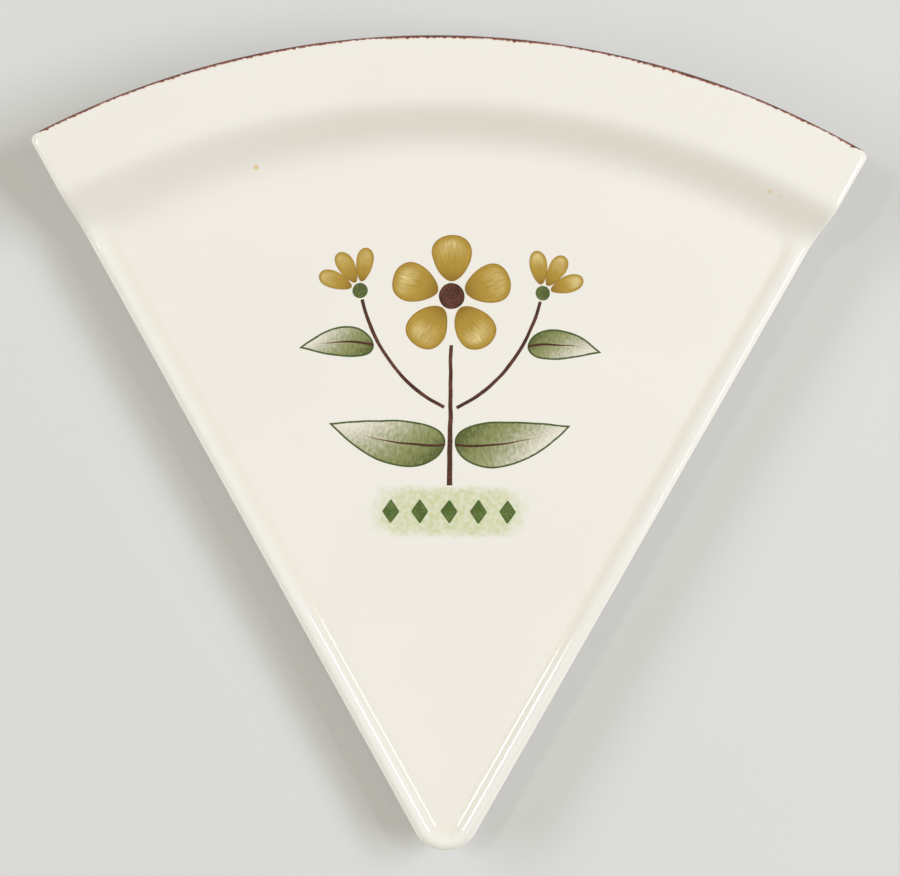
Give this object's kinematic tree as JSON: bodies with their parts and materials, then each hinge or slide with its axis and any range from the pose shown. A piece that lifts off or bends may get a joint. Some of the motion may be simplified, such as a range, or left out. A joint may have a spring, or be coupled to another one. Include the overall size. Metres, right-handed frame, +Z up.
{
  "type": "slice-shaped ceramic plate",
  "caption": "Wedge-shaped glazed ceramic plate for a slice of pizza: raised rim along the arc, low lip on the straight sides, rounded tip, painted posy and a brushed brown edge.",
  "frame": {"origin": "middle of the plate's outer box, on the plane that the foot ring rests on", "axes": "+Z up; +Y from the tip of the slice to the middle of the arc; +X to the right, seen from above with the arc away from the viewer"},
  "size_m": [0.2652, 0.2606, 0.0221],
  "materials": {
    "bare_clay": "dry biscuit clay, wiped free of glaze on the foot",
    "cream_glaze": "glossy cream glaze with faint specks",
    "rust_brush": "dry-brushed iron brown, worn",
    "gold_paint": "glossy ochre-gold painted glaze colour",
    "green_paint": "glossy olive-green painted glaze colour",
    "brown_paint": "glossy dark brown painted glaze colour"
  },
  "bodies": {
    "root": {"clay_body": "bare_clay", "glaze_coat": "cream_glaze", "base_glaze": "cream_glaze", "edge_band": "rust_brush", "blossom_disc": "brown_paint", "blossom_petal_1": "gold_paint", "blossom_petal_2": "gold_paint", "blossom_petal_3": "gold_paint", "blossom_petal_4": "gold_paint", "blossom_petal_5": "gold_paint", "stem": "brown_paint", "left_twig": "brown_paint", "right_twig": "brown_paint", "left_calyx": "green_paint", "left_bud_petal_1": "gold_paint", "left_bud_petal_2": "gold_paint", "left_bud_petal_3": "gold_paint", "right_calyx": "green_paint", "right_bud_petal_1": "gold_paint", "right_bud_petal_2": "gold_paint", "right_bud_petal_3": "gold_paint", "left_low_leaf": "green_paint", "right_low_leaf": "green_paint", "left_high_leaf": "green_paint", "right_high_leaf": "green_paint", "stamp_1": "green_paint", "stamp_2": "green_paint", "stamp_3": "green_paint", "stamp_4": "green_paint", "stamp_5": "green_paint"}
  },
  "joints": []
}
